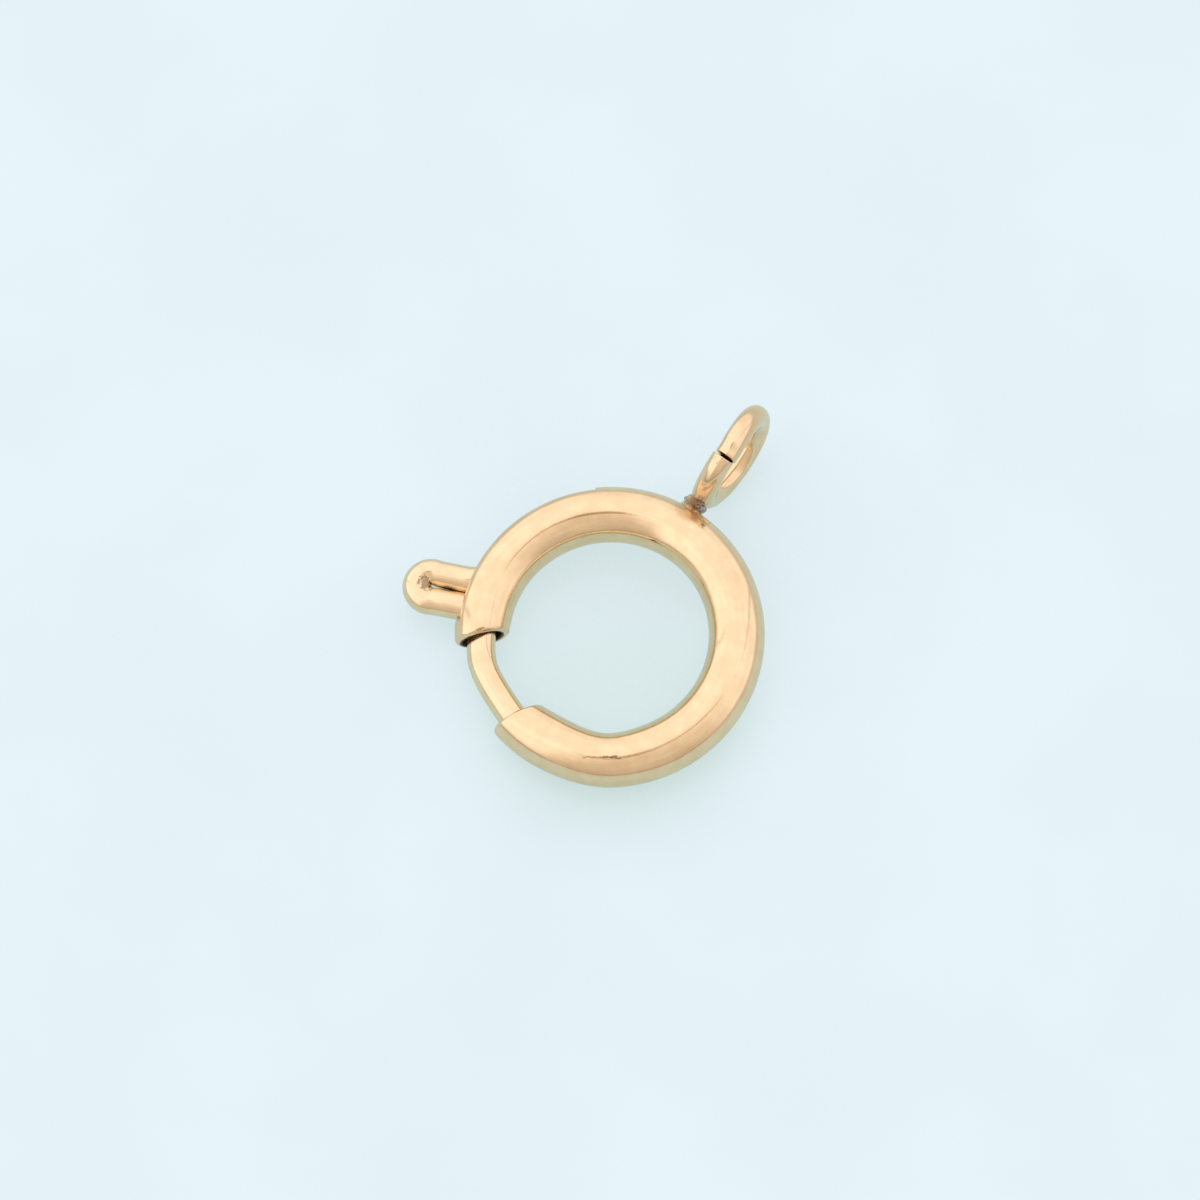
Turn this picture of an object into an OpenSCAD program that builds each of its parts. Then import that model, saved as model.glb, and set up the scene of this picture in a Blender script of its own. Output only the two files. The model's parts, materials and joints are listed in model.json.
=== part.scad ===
// Round spring-ring clasp for a fine chain, lying on a flat surface.
// A tube bent into an open ring holds a wire bolt and a coil spring; a small split bail is soldered to it.
// The clasp is built flat, with its ring in the XY plane and directions counted from +X, and then laid down.

/* [Clasp ring] */
// Radius of the ring, from its centre to the middle of the tube
ring_r = 3.71; // [3.68:0.01:3.74]
// Outside diameter of the tube
tube_d = 1.63; // [1.60:0.01:1.65]
// Thickness of the tube's wall
tube_wall = 0.2; // [0.18:0.01:0.21]
// Direction of the tube's mouth, where the bolt comes out
mouth_az = 180.4; // [179.5:0.1:181.5]
// How far the mouth's cut is turned from a square cut
mouth_skew = 10; // [0:1:12]
// Direction of the catch's cut end, where the bolt goes in
catch_az = 221.9; // [220:0.1:224]
// How far the catch's cut is turned from a square cut
catch_skew = 13; // [0:1:18]
// Direction of the crimp, from which the catch's stretch runs straighter
crimp_az = 266; // [262:1:270]
// Direction in which the catch's stretch lies nearest to the ring's centre
catch_mid_az = 236; // [234:1:238]
// How far the catch's stretch stands in from the ring's circle there
catch_inset = 0.11; // [0.08:0.01:0.12]
// Inside diameter of the tube where it is crimped
crimp_d = 0.7; // [0.6:0.02:0.8]

/* [Slot for the thumb lever] */
// Width of the slot in the tube's outer side
slot_w = 0.98; // [0.9:0.01:1.02]
// Direction of the slot's end near the mouth
slot_near_az = 173.4; // [173.2:0.1:174]
// Direction of the slot's far end, where the open lever stops
slot_far_az = 95; // [90:0.5:95.5]

/* [Bolt] */
// Diameter of the bolt's wire
bolt_d = 0.84; // [0.8:0.01:0.86]
// Diameter of the wire along the thumb lever, where it is drawn thinner
lever_wire_d = 0.82; // [0.78:0.01:0.83]
// Direction at which the tongue's tip starts to round off, inside the catch
tip_az = 228.5; // [226:0.5:229]
// Direction in which the thumb lever points
lever_az = 168; // [167.5:0.1:168.5]
// Distance by which the lever's middle line passes the ring's centre
lever_offset = 0.49; // [0.46:0.01:0.52]
// Distance from the ring's centre to the middle of the lever's fold, along the lever
fold_reach = 5.42; // [5.3:0.02:5.6]
// Radius of the fold, to the middle of the wire
fold_r = 0.43; // [0.43:0.01:0.45]
// Angle by which the lever's upper leg leans in
leg_lean = 3; // [2:0.5:3]
// Radius of the bend between the lower leg and the tongue, to the middle of the wire
tongue_bend_r = 0.45; // [0.44:0.01:0.5]
// Radius of the bend between the upper leg and the tail, to the middle of the wire
tail_bend_r = 1.245; // [1.1:0.005:1.3]
// Diameter of the tail, a thinner pin that the spring sits over
tail_d = 0.54; // [0.4:0.01:0.6]
// Direction of the tail's end
tail_az = 129; // [122:0.5:134]

/* [Spring] */
// Diameter of the spring's wire
spring_wire_d = 0.14; // [0.1:0.01:0.16]
// Outside diameter of the spring
spring_d = 1.0; // [0.96:0.01:1.04]
// Number of the spring's turns
spring_turns = 36; // [24:1:40]

/* [Bail] */
// Radius of the bail, to the middle of its wire
bail_r = 1.41; // [1.35:0.01:1.5]
// Diameter of the bail's wire
bail_wire_d = 0.66; // [0.6:0.01:0.7]
// Direction of the solder joint on the clasp ring
neck_az = 57.7; // [55:0.1:60]
// Angle by which the bail leans on its solder joint
bail_lean = -4; // [-6:0.5:6]
// Diameter of the solder collar
neck_d = 0.72; // [0.7:0.01:0.78]
// Gap between the clasp ring and the inside of the bail's wire
neck_h = 0.2; // [0.12:0.01:0.24]
// Place of the bail's split, counted round the bail from its outermost point
split_at = 108; // [104:1:120]
// Width of the bail's split
split_w = 0.07; // [0.05:0.01:0.1]

/* [Rest] */
// Turn of the resting line, from the bail's direction, that brings it under the clasp's weight
rest_turn = -4.4; // [-7:0.1:0]

/* [Hidden] */
$fn = 96;
// Distance by which a cutting shape runs past what it cuts
past = 0.5;
// Amount by which the ball in a joint stands proud of the two bars that meet there
joint_proud = 0.01;
// Gap that keeps the spring clear of the tail's shoulder and of the crimp
spring_gap = 0.04;
// Angle that the crimp's narrow stretch takes up
crimp_span = 5;
// Steps round each turn of the spring and sides of its wire
turn_steps = 10;
wire_sides = 5;

tube_r = tube_d / 2;
bore_r = tube_r - tube_wall;
// Angle by which the tube runs past its two cuts, which then trim it
trim_turn = 6;
// Angle by which the bore runs out past the untrimmed tube
bore_past = 2;
mouth_end = mouth_az + trim_turn;
bolt_r = bolt_d / 2;
lever_wire_r = lever_wire_d / 2;
up = [0, 0, 1];
function ray(az) = [cos(az), sin(az), 0];

// The catch's stretch is an arc of a wider circle, whose centre lies across the ring from the catch
catch_near_r = ring_r - catch_inset;
catch_from = crimp_az - catch_mid_az;
catch_shift = (ring_r ^ 2 - catch_near_r ^ 2) / (2 * (catch_near_r - ring_r * cos(catch_from)));
catch_bend_r = catch_near_r + catch_shift;
catch_centre = -catch_shift * ray(catch_mid_az);
catch_start = catch_mid_az + atan2(ring_r * sin(catch_from), ring_r * cos(catch_from) + catch_shift);
catch_end = catch_az - trim_turn;
catch_across = catch_shift * sin(catch_mid_az - catch_az);
catch_along = catch_shift * cos(catch_mid_az - catch_az);
catch_cut = (sqrt(catch_bend_r ^ 2 - catch_across ^ 2) - catch_along) * ray(catch_az);

// The lever's fold, and the bends that join its legs to the ring's circle
lever_side = lever_az - 90;
fold_centre = fold_reach * ray(lever_az) + lever_offset * ray(lever_side);
tongue_leg = lever_offset - fold_r;
tongue_bend_across = tongue_leg - tongue_bend_r;
tongue_bend_along = sqrt((ring_r + tongue_bend_r) ^ 2 - tongue_bend_across ^ 2);
tongue_bend_turn = atan2(-tongue_bend_across, tongue_bend_along);
tongue_az = lever_az + tongue_bend_turn;
tongue_bend_centre = (ring_r + tongue_bend_r) * ray(tongue_az);
tongue_leg_foot = tongue_bend_along * ray(lever_az) + tongue_leg * ray(lever_side);
tongue_leg_head = fold_reach * ray(lever_az) + tongue_leg * ray(lever_side);
tail_leg_az = lever_az - leg_lean;
tail_leg = fold_centre * ray(tail_leg_az - 90) + fold_r;
tail_leg_head = fold_centre + fold_r * ray(tail_leg_az - 90);
tail_bend_across = tail_leg + tail_bend_r;
tail_bend_along = sqrt((ring_r + tail_bend_r) ^ 2 - tail_bend_across ^ 2);
tail_leg_foot = tail_bend_along * ray(tail_leg_az) + tail_leg * ray(tail_leg_az - 90);
tail_bend_turn = atan2(tail_bend_across, tail_bend_along);
tail_bend_az = tail_leg_az - tail_bend_turn;
tail_bend_centre = (ring_r + tail_bend_r) * ray(tail_bend_az);
// The thin tail starts inside the bend
tail_root = 2;

// The spring fills the bore from the tail's shoulder to the crimp, on the far side of the ring
spring_r = (spring_d - spring_wire_d) / 2;
arc_gap = (spring_gap + spring_wire_d / 2) / ring_r * 180 / PI;
spring_from = tail_bend_az - arc_gap;
spring_to = crimp_az + crimp_span / 2 - 360 + arc_gap;

// The bail stands square to the clasp ring, just off the tube
bail_wire_r = bail_wire_d / 2;
bail_az = neck_az + bail_lean;
bail_foot = (ring_r + tube_r + neck_h) * ray(neck_az);
bail_centre = bail_foot + (bail_r + bail_wire_r) * ray(bail_az);
bail_axis = ray(bail_az - 90);
// Depth to which the solder collar holds the bail's wire
neck_sink = bail_wire_d / 5;

// The clasp rests on the bail's lowest point and on the underside of the catch's stretch
bail_dist = norm(bail_centre);
rest_az = atan2(bail_centre.y, bail_centre.x) + rest_turn;
rest_reach = bail_dist * cos(rest_turn) + catch_bend_r - catch_shift * cos(rest_az + 180 - catch_mid_az);
rest_tilt = asin((bail_r + bail_wire_r - tube_r) / rest_reach);
tilt_axis = [sin(rest_az), -cos(rest_az), 0];
// A direction of the laid clasp, as the flat clasp sees it
function flat_dir(d) =
    d * cos(rest_tilt) - cross(tilt_axis, d) * sin(rest_tilt)
    + tilt_axis * (tilt_axis * d) * (1 - cos(rest_tilt));
// How far a round ring of round wire reaches in a direction
function reach(d, centre, axis, big_r, wire_r) =
    d * centre + big_r * norm(d - axis * (axis * d)) + wire_r;
function bail_reach(d) = reach(d, bail_centre, bail_axis, bail_r, bail_wire_r);
low_z = -reach(flat_dir([0, 0, -1]), catch_centre, up, catch_bend_r, tube_r);
high_x = bail_reach(flat_dir([1, 0, 0]));
low_x = -reach(flat_dir([-1, 0, 0]), fold_centre, up, fold_r, lever_wire_r);
high_y = bail_reach(flat_dir([0, 1, 0]));
low_y = -reach(flat_dir([0, -1, 0]), [0, 0, 0], up, ring_r, tube_r);

// Lays the flat clasp down, with its lowest points on z = 0 and its box centred on the origin
module lay()
    translate([-(high_x + low_x) / 2, -(high_y + low_y) / 2, -low_z])
        rotate(a = rest_tilt, v = tilt_axis)
            children();

// A round bar bent along an arc about Z, from one direction to another
module arc_bar(bend_r, bar_r, from_az, to_az)
    rotate_extrude(start = from_az, angle = to_az - from_az)
        translate([bend_r, 0])
            circle(r = bar_r);

// A straight round bar from one place to another in the ring's plane
module straight_bar(from, to, bar_r)
    translate(from)
        rotate([0, 90, atan2(to.y - from.y, to.x - from.x)])
            cylinder(r = bar_r, h = norm(to - from));

// A ball that joins two bars of one radius where they meet
module joint_ball(place, bar_r)
    translate(place)
        sphere(r = bar_r + joint_proud);

// The space that a cut takes away, on the open side of a plane through a place of the tube
module cut_space(place, along_az)
    translate(place)
        rotate([0, 0, along_az])
            translate([0, -tube_d, -tube_d])
                cube([tube_d, 2 * tube_d, 2 * tube_d]);

// The mouth's and the catch's stretches, trimmed by their cuts, with the joint between them at the crimp
module tube_outside() {
    difference() {
        arc_bar(ring_r, tube_r, crimp_az - 360, mouth_end);
        cut_space(ring_r * ray(mouth_az), mouth_az + 90 + mouth_skew);
    }
    joint_ball(ring_r * ray(crimp_az), tube_r);
    difference() {
        translate(catch_centre)
            arc_bar(catch_bend_r, tube_r, catch_end, catch_start);
        cut_space(catch_cut, catch_az - 90 - catch_skew);
    }
}

// The bore narrows at the crimp, and runs out past both cut ends
module tube_bore() {
    arc_bar(ring_r, bore_r, crimp_az + crimp_span / 2 - 360, mouth_end + bore_past);
    arc_bar(ring_r, crimp_d / 2, crimp_az - 360, crimp_az + crimp_span - 360);
    joint_ball(ring_r * ray(crimp_az), crimp_d / 2);
    translate(catch_centre) {
        arc_bar(catch_bend_r, crimp_d / 2, catch_start - crimp_span, catch_start);
        arc_bar(catch_bend_r, bore_r, catch_end - bore_past, catch_start - crimp_span / 2);
    }
}

// The slot takes the tube's outer side away between its two ends
module slot_space()
    rotate_extrude(start = slot_far_az, angle = slot_near_az - slot_far_az)
        translate([ring_r, -slot_w / 2])
            square([tube_r + past, slot_w]);

// The open bail and the solder collar on which it stands
module bail() {
    translate(bail_centre)
        rotate([0, 0, bail_az])
            rotate([90, 0, 0])
                difference() {
                    arc_bar(bail_r, bail_wire_r, 0, 360);
                    rotate([0, 0, split_at])
                        translate([bail_r - bail_wire_d, -split_w / 2, -bail_wire_d])
                            cube([2 * bail_wire_d, split_w, 2 * bail_wire_d]);
                }
    straight_bar(
        (ring_r + tube_r - tube_wall / 2) * ray(neck_az),
        bail_foot + neck_sink * ray(neck_az),
        neck_d / 2
    );
}

module ring_case()
    color("#f0cf9c")
        lay() {
            difference() {
                tube_outside();
                tube_bore();
                slot_space();
            }
            bail();
        }

// The tongue, both legs and the fold of the lever, and the tail are one bent wire
module bolt()
    color("#f7dca6")
        lay() {
            arc_bar(ring_r, bolt_r, tongue_az, tip_az);
            joint_ball(ring_r * ray(tip_az), bolt_r);
            joint_ball(ring_r * ray(tongue_az), bolt_r);
            translate(tongue_bend_centre)
                arc_bar(tongue_bend_r, lever_wire_r, tongue_az - 180, lever_side);
            joint_ball(tongue_leg_foot, lever_wire_r);
            straight_bar(tongue_leg_foot, tongue_leg_head, lever_wire_r);
            joint_ball(tongue_leg_head, lever_wire_r);
            translate(fold_centre)
                arc_bar(fold_r, lever_wire_r, tail_leg_az - 90, lever_az + 90);
            joint_ball(tail_leg_head, lever_wire_r);
            straight_bar(tail_leg_foot, tail_leg_head, lever_wire_r);
            joint_ball(tail_leg_foot, lever_wire_r);
            translate(tail_bend_centre)
                arc_bar(tail_bend_r, lever_wire_r, tail_leg_az + 90, tail_bend_az + 180);
            arc_bar(ring_r, tail_d / 2, tail_az, tail_bend_az + tail_root);
        }

// A corner of the spring's wire: which step along the coil, and which side of the wire
function coil_corner(step, side) =
    let (
        turn = 360 * step / turn_steps,
        az = spring_from + (spring_to - spring_from) * step / (spring_turns * turn_steps),
        out = spring_r + spring_wire_d / 2 * cos(360 * side / wire_sides),
        along = spring_wire_d / 2 * sin(360 * side / wire_sides)
    )
    (ring_r + out * cos(turn)) * ray(az) + along * ray(az - 90) + out * sin(turn) * up;

module spring()
    color("#d9d3c6")
        lay() {
            steps = spring_turns * turn_steps;
            corners = [for (step = [0:steps], side = [0:wire_sides - 1]) coil_corner(step, side)];
            caps = [
                for (side = [1:wire_sides - 2])
                    each [
                        [0, side + 1, side],
                        [steps * wire_sides, steps * wire_sides + side, steps * wire_sides + side + 1]
                    ]
            ];
            walls = [
                for (step = [0:steps - 1], side = [0:wire_sides - 1])
                    let (
                        here = step * wire_sides,
                        there = here + wire_sides,
                        next = (side + 1) % wire_sides
                    )
                    each [
                        [here + side, here + next, there + side],
                        [here + next, there + next, there + side]
                    ]
            ];
            polyhedron(points = corners, faces = concat(caps, walls), convexity = 10);
        }

ring_case();
bolt();
spring();
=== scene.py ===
# %% [markdown]
# # A spring-ring clasp, dressed in Blender
# The clasp is a tube bent into an open ring. A wire bolt slides in the tube and closes the ring's opening,
# and a small split bail, soldered to the tube, takes the chain. The measured model is loaded first and
# stays where it is. Everything below gives it the look of the real one: round, polished, pale yellow gold.

# %% Load the measured model
import json
import math

import bmesh
import bpy
from mathutils import Matrix, Vector


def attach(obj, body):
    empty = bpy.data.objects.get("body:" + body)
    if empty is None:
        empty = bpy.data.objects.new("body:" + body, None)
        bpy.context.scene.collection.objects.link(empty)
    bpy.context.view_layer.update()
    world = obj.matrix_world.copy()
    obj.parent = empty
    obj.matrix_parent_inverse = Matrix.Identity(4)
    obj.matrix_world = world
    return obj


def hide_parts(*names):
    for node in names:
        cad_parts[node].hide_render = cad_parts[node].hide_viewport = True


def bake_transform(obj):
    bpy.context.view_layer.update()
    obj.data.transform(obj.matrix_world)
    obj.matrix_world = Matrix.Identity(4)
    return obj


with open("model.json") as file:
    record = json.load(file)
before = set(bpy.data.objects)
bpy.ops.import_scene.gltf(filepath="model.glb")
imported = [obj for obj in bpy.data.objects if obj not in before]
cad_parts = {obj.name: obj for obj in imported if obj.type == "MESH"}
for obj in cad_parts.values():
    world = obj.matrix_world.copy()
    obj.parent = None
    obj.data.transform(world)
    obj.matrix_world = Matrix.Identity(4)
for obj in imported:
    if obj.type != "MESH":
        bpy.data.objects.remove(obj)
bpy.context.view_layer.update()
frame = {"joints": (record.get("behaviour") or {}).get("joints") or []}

# %% [markdown]
# ## The drawing and how it is laid down
# The clasp is drawn flat, in millimetres, with its ring round the origin and directions counted from +X.
# That is how a jeweller would draw it, and Blender's merging and bevels work well at that size. Each
# finished piece is then scaled to metres and tipped by a few degrees, because the real clasp leans on its
# bail and on the ring's far side. The hinge of the bolt is the ring's own axis, so the measured model's
# joint gives the whole placing.

# %% The placing, read from the joint
MM = 0.001
joint = frame["joints"][0]
ring_axis = Vector(joint["axis"])
ring_place = Vector(joint["pos_m"])
LAY = (
    Matrix.Translation(ring_place)
    @ Vector((0, 0, 1)).rotation_difference(ring_axis).to_matrix().to_4x4()
    @ Matrix.Scale(MM, 4)
)
print("the ring leans by", round(math.degrees(ring_axis.angle(Vector((0, 0, 1)))), 2), "degrees")


def ray(az):
    """The unit vector that points in a direction of the flat drawing."""
    return Vector((math.cos(math.radians(az)), math.sin(math.radians(az)), 0))


def azimuth(v):
    """The direction of a vector in the flat drawing, from 0 to 360 degrees."""
    return math.degrees(math.atan2(v.y, v.x)) % 360


# %% [markdown]
# ## Small tools for modelling as by hand
# Edit-mode operators act on what is selected, so each helper below selects by place and then calls one
# operator. Without a window, spin and rotate turn clockwise for a positive angle, so both helpers flip the
# sign.

# %% Helpers: a ring of vertices that is carried along
def start_ring(name, centre, normal, radius, sides):
    """Adds an open circle that stands across a wire or tube, and goes into edit mode with it selected."""
    bpy.ops.object.select_all(action="DESELECT")
    turned = normal.to_track_quat("Z", "X").to_euler()
    bpy.ops.mesh.primitive_circle_add(vertices=sides, radius=radius, location=centre, rotation=turned)
    piece = bpy.context.object
    piece.name = name
    bpy.ops.object.transform_apply(location=True, rotation=True, scale=True)
    bpy.ops.object.mode_set(mode="EDIT")
    bpy.ops.mesh.select_all(action="SELECT")
    return piece


def spin_on(angle, centre, steps):
    """Sweeps the selected ring round a centre in the drawing's plane, anticlockwise."""
    bpy.ops.mesh.spin(steps=steps, angle=-math.radians(angle), center=centre, axis=(0, 0, 1))


def next_ring(here, there, turn=0.0, grow=1.0):
    """Extrudes the selected ring from one centre to the next, turns it in the plane and scales it."""
    bpy.ops.mesh.extrude_region_move(TRANSFORM_OT_translate={"value": there - here})
    if turn:
        bpy.ops.transform.rotate(value=-math.radians(turn), orient_axis="Z", center_override=there)
    if grow != 1.0:
        bpy.ops.transform.resize(value=(grow, grow, grow), center_override=there)


# %% Helpers: parts of a mesh
def pick(piece, kind, test):
    """Selects only the vertices, edges or faces that pass a test, and says how many they are."""
    bpy.ops.mesh.select_mode(type=kind)
    bpy.ops.mesh.select_all(action="DESELECT")
    mesh = bmesh.from_edit_mesh(piece.data)
    parts = {"VERT": mesh.verts, "EDGE": mesh.edges, "FACE": mesh.faces}[kind]
    found = 0
    for part in parts:
        if test(part):
            part.select_set(True)
            found += 1
    mesh.select_flush_mode()
    bmesh.update_edit_mesh(piece.data)
    return found


def middle(part):
    """The middle of an edge or face."""
    return sum((v.co for v in part.verts), Vector()) / len(part.verts)


MERGE_WITHIN = 0.0005


def finish_edit():
    """Merges doubles, points the faces outwards and leaves edit mode."""
    bpy.ops.mesh.select_all(action="SELECT")
    bpy.ops.mesh.remove_doubles(threshold=MERGE_WITHIN)
    bpy.ops.mesh.normals_make_consistent(inside=False)
    bpy.ops.mesh.select_all(action="DESELECT")
    bpy.ops.object.mode_set(mode="OBJECT")


# %% Helpers: whole pieces
def select_only(piece):
    """Selects one object and makes it the active one."""
    bpy.ops.object.select_all(action="DESELECT")
    bpy.context.view_layer.objects.active = piece
    piece.select_set(True)


def apply_modifier(piece, kind, **settings):
    """Adds a modifier, sets it and applies it."""
    select_only(piece)
    bpy.ops.object.modifier_add(type=kind)
    modifier = piece.modifiers[-1]
    for key, value in settings.items():
        setattr(modifier, key, value)
    bpy.ops.object.modifier_apply(modifier=modifier.name)


def lay_down(piece, sharp_angle=40):
    """Takes a flat piece to its place on the surface, in metres, and smooths its shading."""
    select_only(piece)
    piece.matrix_world = LAY
    bpy.ops.object.transform_apply(location=True, rotation=True, scale=True)
    bpy.ops.object.shade_smooth_by_angle(angle=math.radians(sharp_angle))
    print(piece.name, "has", len(piece.data.polygons), "faces")


# %% [markdown]
# ## The camera
# The photograph looks down steeply with a long lens, so the ring looks nearly as round as it is. The camera
# aims past the ring's centre by the same few millimetres as the photograph does.

# %% Camera
CAMERA_ELEVATION = 69
LENS = 200
SENSOR = 36
FRAME_WIDTH = 34.86 * MM
FRAME_PIXELS = 1200
RING_PIXEL = (609.2, 636.4)
CLIP_NEAR = 0.01

pixel = FRAME_WIDTH / FRAME_PIXELS
elevation = math.radians(CAMERA_ELEVATION)
view_right = Vector((1, 0, 0))
view_up = Vector((0, math.sin(elevation), math.cos(elevation)))
view_back = Vector((0, -math.cos(elevation), math.sin(elevation)))
aim = (
    ring_place
    - view_right * (RING_PIXEL[0] - FRAME_PIXELS / 2) * pixel
    + view_up * (RING_PIXEL[1] - FRAME_PIXELS / 2) * pixel
)
camera_data = bpy.data.cameras.new("camera")
camera_data.lens = LENS
camera_data.sensor_width = SENSOR
camera_data.clip_start = CLIP_NEAR
camera = bpy.data.objects.new("camera", camera_data)
camera.location = aim + view_back * FRAME_WIDTH * LENS / SENSOR
camera.rotation_euler = (math.radians(90 - CAMERA_ELEVATION), 0, 0)
bpy.context.scene.collection.objects.link(camera)
bpy.context.scene.camera = camera
bpy.context.scene.view_settings.view_transform = "Standard"
print("camera at", tuple(round(v, 4) for v in camera.location))

# %% [markdown]
# ## The tube
# The real case is a thin tube, bent round and cut open. It could be a bevelled curve, but a curve's ends
# are always cut square and its wall has no thickness. Here a circle is set across the tube at the catch,
# turned by the slant of that cut. Rings are extruded one by one until they stand square, a spin carries
# them along the catch's flatter stretch, a few more make the kink at the crimp, and a second spin goes
# round to the mouth.

# %% Sizes of the tube
RING_R = 3.71
TUBE_R = 0.815
WALL = 0.2
MOUTH_AZ = 180.4
MOUTH_SKEW = 10
CATCH_AZ = 221.9
CATCH_SKEW = 13
CRIMP_AZ = 266
CATCH_MID_AZ = 236
CATCH_R = 3.60
TUBE_SIDES = 72

kink = math.radians(CRIMP_AZ - CATCH_MID_AZ)
shift = (RING_R**2 - CATCH_R**2) / (2 * (CATCH_R - RING_R * math.cos(kink)))
catch_bend_r = CATCH_R + shift
catch_centre = -shift * ray(CATCH_MID_AZ)
across = shift * math.sin(math.radians(CATCH_MID_AZ - CATCH_AZ))
along = shift * math.cos(math.radians(CATCH_MID_AZ - CATCH_AZ))
catch_cut = (math.sqrt(catch_bend_r**2 - across**2) - along) * ray(CATCH_AZ)
catch_cut_az = azimuth(catch_cut - catch_centre)
crimp_place = RING_R * ray(CRIMP_AZ)
crimp_from_catch = azimuth(crimp_place - catch_centre)
print("the catch's stretch bends at", round(catch_bend_r, 2), "mm and the kink is",
      round(CRIMP_AZ - crimp_from_catch, 1), "degrees")

# %% The catch's lip
LIP_STEPS = 6
LIP_STEP_AZ = 2.4
LIP_PINCH = 0.965


def pinch(share):
    """The tube's size at a share of the way from the lip's edge, where it is drawn in a little."""
    return 1 - (1 - LIP_PINCH) * (1 - share) ** 2


skew_left = CATCH_SKEW - (CATCH_AZ - catch_cut_az)
tube = start_ring("case_tube", catch_cut, ray(catch_cut_az + 90 - skew_left), TUBE_R * LIP_PINCH, TUBE_SIDES)
az = catch_cut_az
here = catch_cut
for step in range(LIP_STEPS):
    az += LIP_STEP_AZ
    there = catch_centre + catch_bend_r * ray(az)
    grow = pinch((step + 1) / LIP_STEPS) / pinch(step / LIP_STEPS)
    next_ring(here, there, turn=LIP_STEP_AZ + skew_left / LIP_STEPS, grow=grow)
    here = there
print("the catch's lip takes", round(az - catch_cut_az, 1), "degrees")

# %% The catch's stretch and the kink
CATCH_STEPS = 11
KINK_HALF = 6
KINK_STEPS = 10

kink_az = crimp_from_catch - KINK_HALF
spin_on(kink_az - az, catch_centre, CATCH_STEPS)
kink_from = catch_centre + catch_bend_r * ray(kink_az)
kink_to = RING_R * ray(CRIMP_AZ + KINK_HALF)
kink_in = ray(kink_az + 90)
kink_out = ray(CRIMP_AZ + KINK_HALF + 90)
chord = kink_to - kink_from
kink_corner = kink_from + kink_in * (chord.cross(kink_out).z / kink_in.cross(kink_out).z)
az = kink_az
here = kink_from
for step in range(KINK_STEPS):
    share = (step + 1) / KINK_STEPS
    there = kink_from.lerp(kink_corner, share).lerp(kink_corner.lerp(kink_to, share), share)
    way = (kink_corner - kink_from).lerp(kink_to - kink_corner, share)
    facing = azimuth(way) - 90
    next_ring(here, there, turn=(facing - az + 180) % 360 - 180)
    here = there
    az = facing
az %= 360
print("the kink ends facing", round(az, 2), "degrees")

# %% Round to the mouth's lip
MOUTH_LIP_AZ = 13
ROUND_STEPS = 126

spin_end = MOUTH_AZ + 360 - MOUTH_LIP_AZ
spin_on(spin_end - az, (0, 0, 0), ROUND_STEPS)
here = RING_R * ray(spin_end)
for step in range(LIP_STEPS):
    there = RING_R * ray(spin_end + MOUTH_LIP_AZ * (step + 1) / LIP_STEPS)
    grow = pinch(1 - (step + 1) / LIP_STEPS) / pinch(1 - step / LIP_STEPS)
    next_ring(here, there, turn=(MOUTH_LIP_AZ + MOUTH_SKEW) / LIP_STEPS, grow=grow)
    here = there
finish_edit()
print("tube's shell:", len(tube.data.vertices), "vertices")

# %% [markdown]
# The crimp is where the maker nipped the tube to hold the spring's foot. On the real clasp the inner side
# is a little hollow there, while the outer side runs on smoothly. So the rings of vertices at the crimp are
# pressed towards the outer side, and proportional editing lets their neighbours follow.

# %% Nip the tube at the crimp
CRIMP_PRESS = (1, 0.965, 0.985)
CRIMP_REACH = 1.2
CRIMP_HALF = 0.06


def with_neighbours(reach, falloff="SMOOTH", connected=True):
    """Settings that let the neighbours follow what a transform operator moves."""
    return {"use_proportional_edit": True, "use_proportional_connected": connected,
            "proportional_edit_falloff": falloff, "proportional_size": reach}


bpy.ops.object.mode_set(mode="EDIT")
crimp_facing = ray((CRIMP_AZ + crimp_from_catch) / 2 + 90)
picked = pick(tube, "VERT", lambda v: abs((v.co - crimp_place).dot(crimp_facing)) < CRIMP_HALF
              and (v.co - crimp_place).length < 2 * TUBE_R)
outermost = crimp_place + TUBE_R * ray(CRIMP_AZ)
bpy.ops.transform.resize(value=CRIMP_PRESS, center_override=outermost,
                         **with_neighbours(CRIMP_REACH, connected=False))
bpy.ops.object.mode_set(mode="OBJECT")
print("the nip holds", picked, "vertices")

# %% [markdown]
# The thumb lever slides in a slot on the tube's outer side. Four bisect cuts mark the slot on the thin
# shell, and the faces between them are deleted. Only then does the Solidify modifier give the wall its
# thickness, so the slot's edges get their true depth by themselves.

# %% Cut the slot and thicken the wall
SLOT_W = 0.98
SLOT_NEAR_AZ = 173.4
SLOT_FAR_AZ = 95
CUT_MARGIN_AZ = 4
CUT_MARGIN_Z = 0.2


def by_slot(place, az_margin=0.0, z_margin=0.0):
    """Whether a place on the tube's outer side is in the slot, or within the margins round it."""
    return (place.xy.length > RING_R
            and SLOT_FAR_AZ - az_margin < azimuth(place) < SLOT_NEAR_AZ + az_margin
            and abs(place.z) < SLOT_W / 2 + z_margin)


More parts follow.
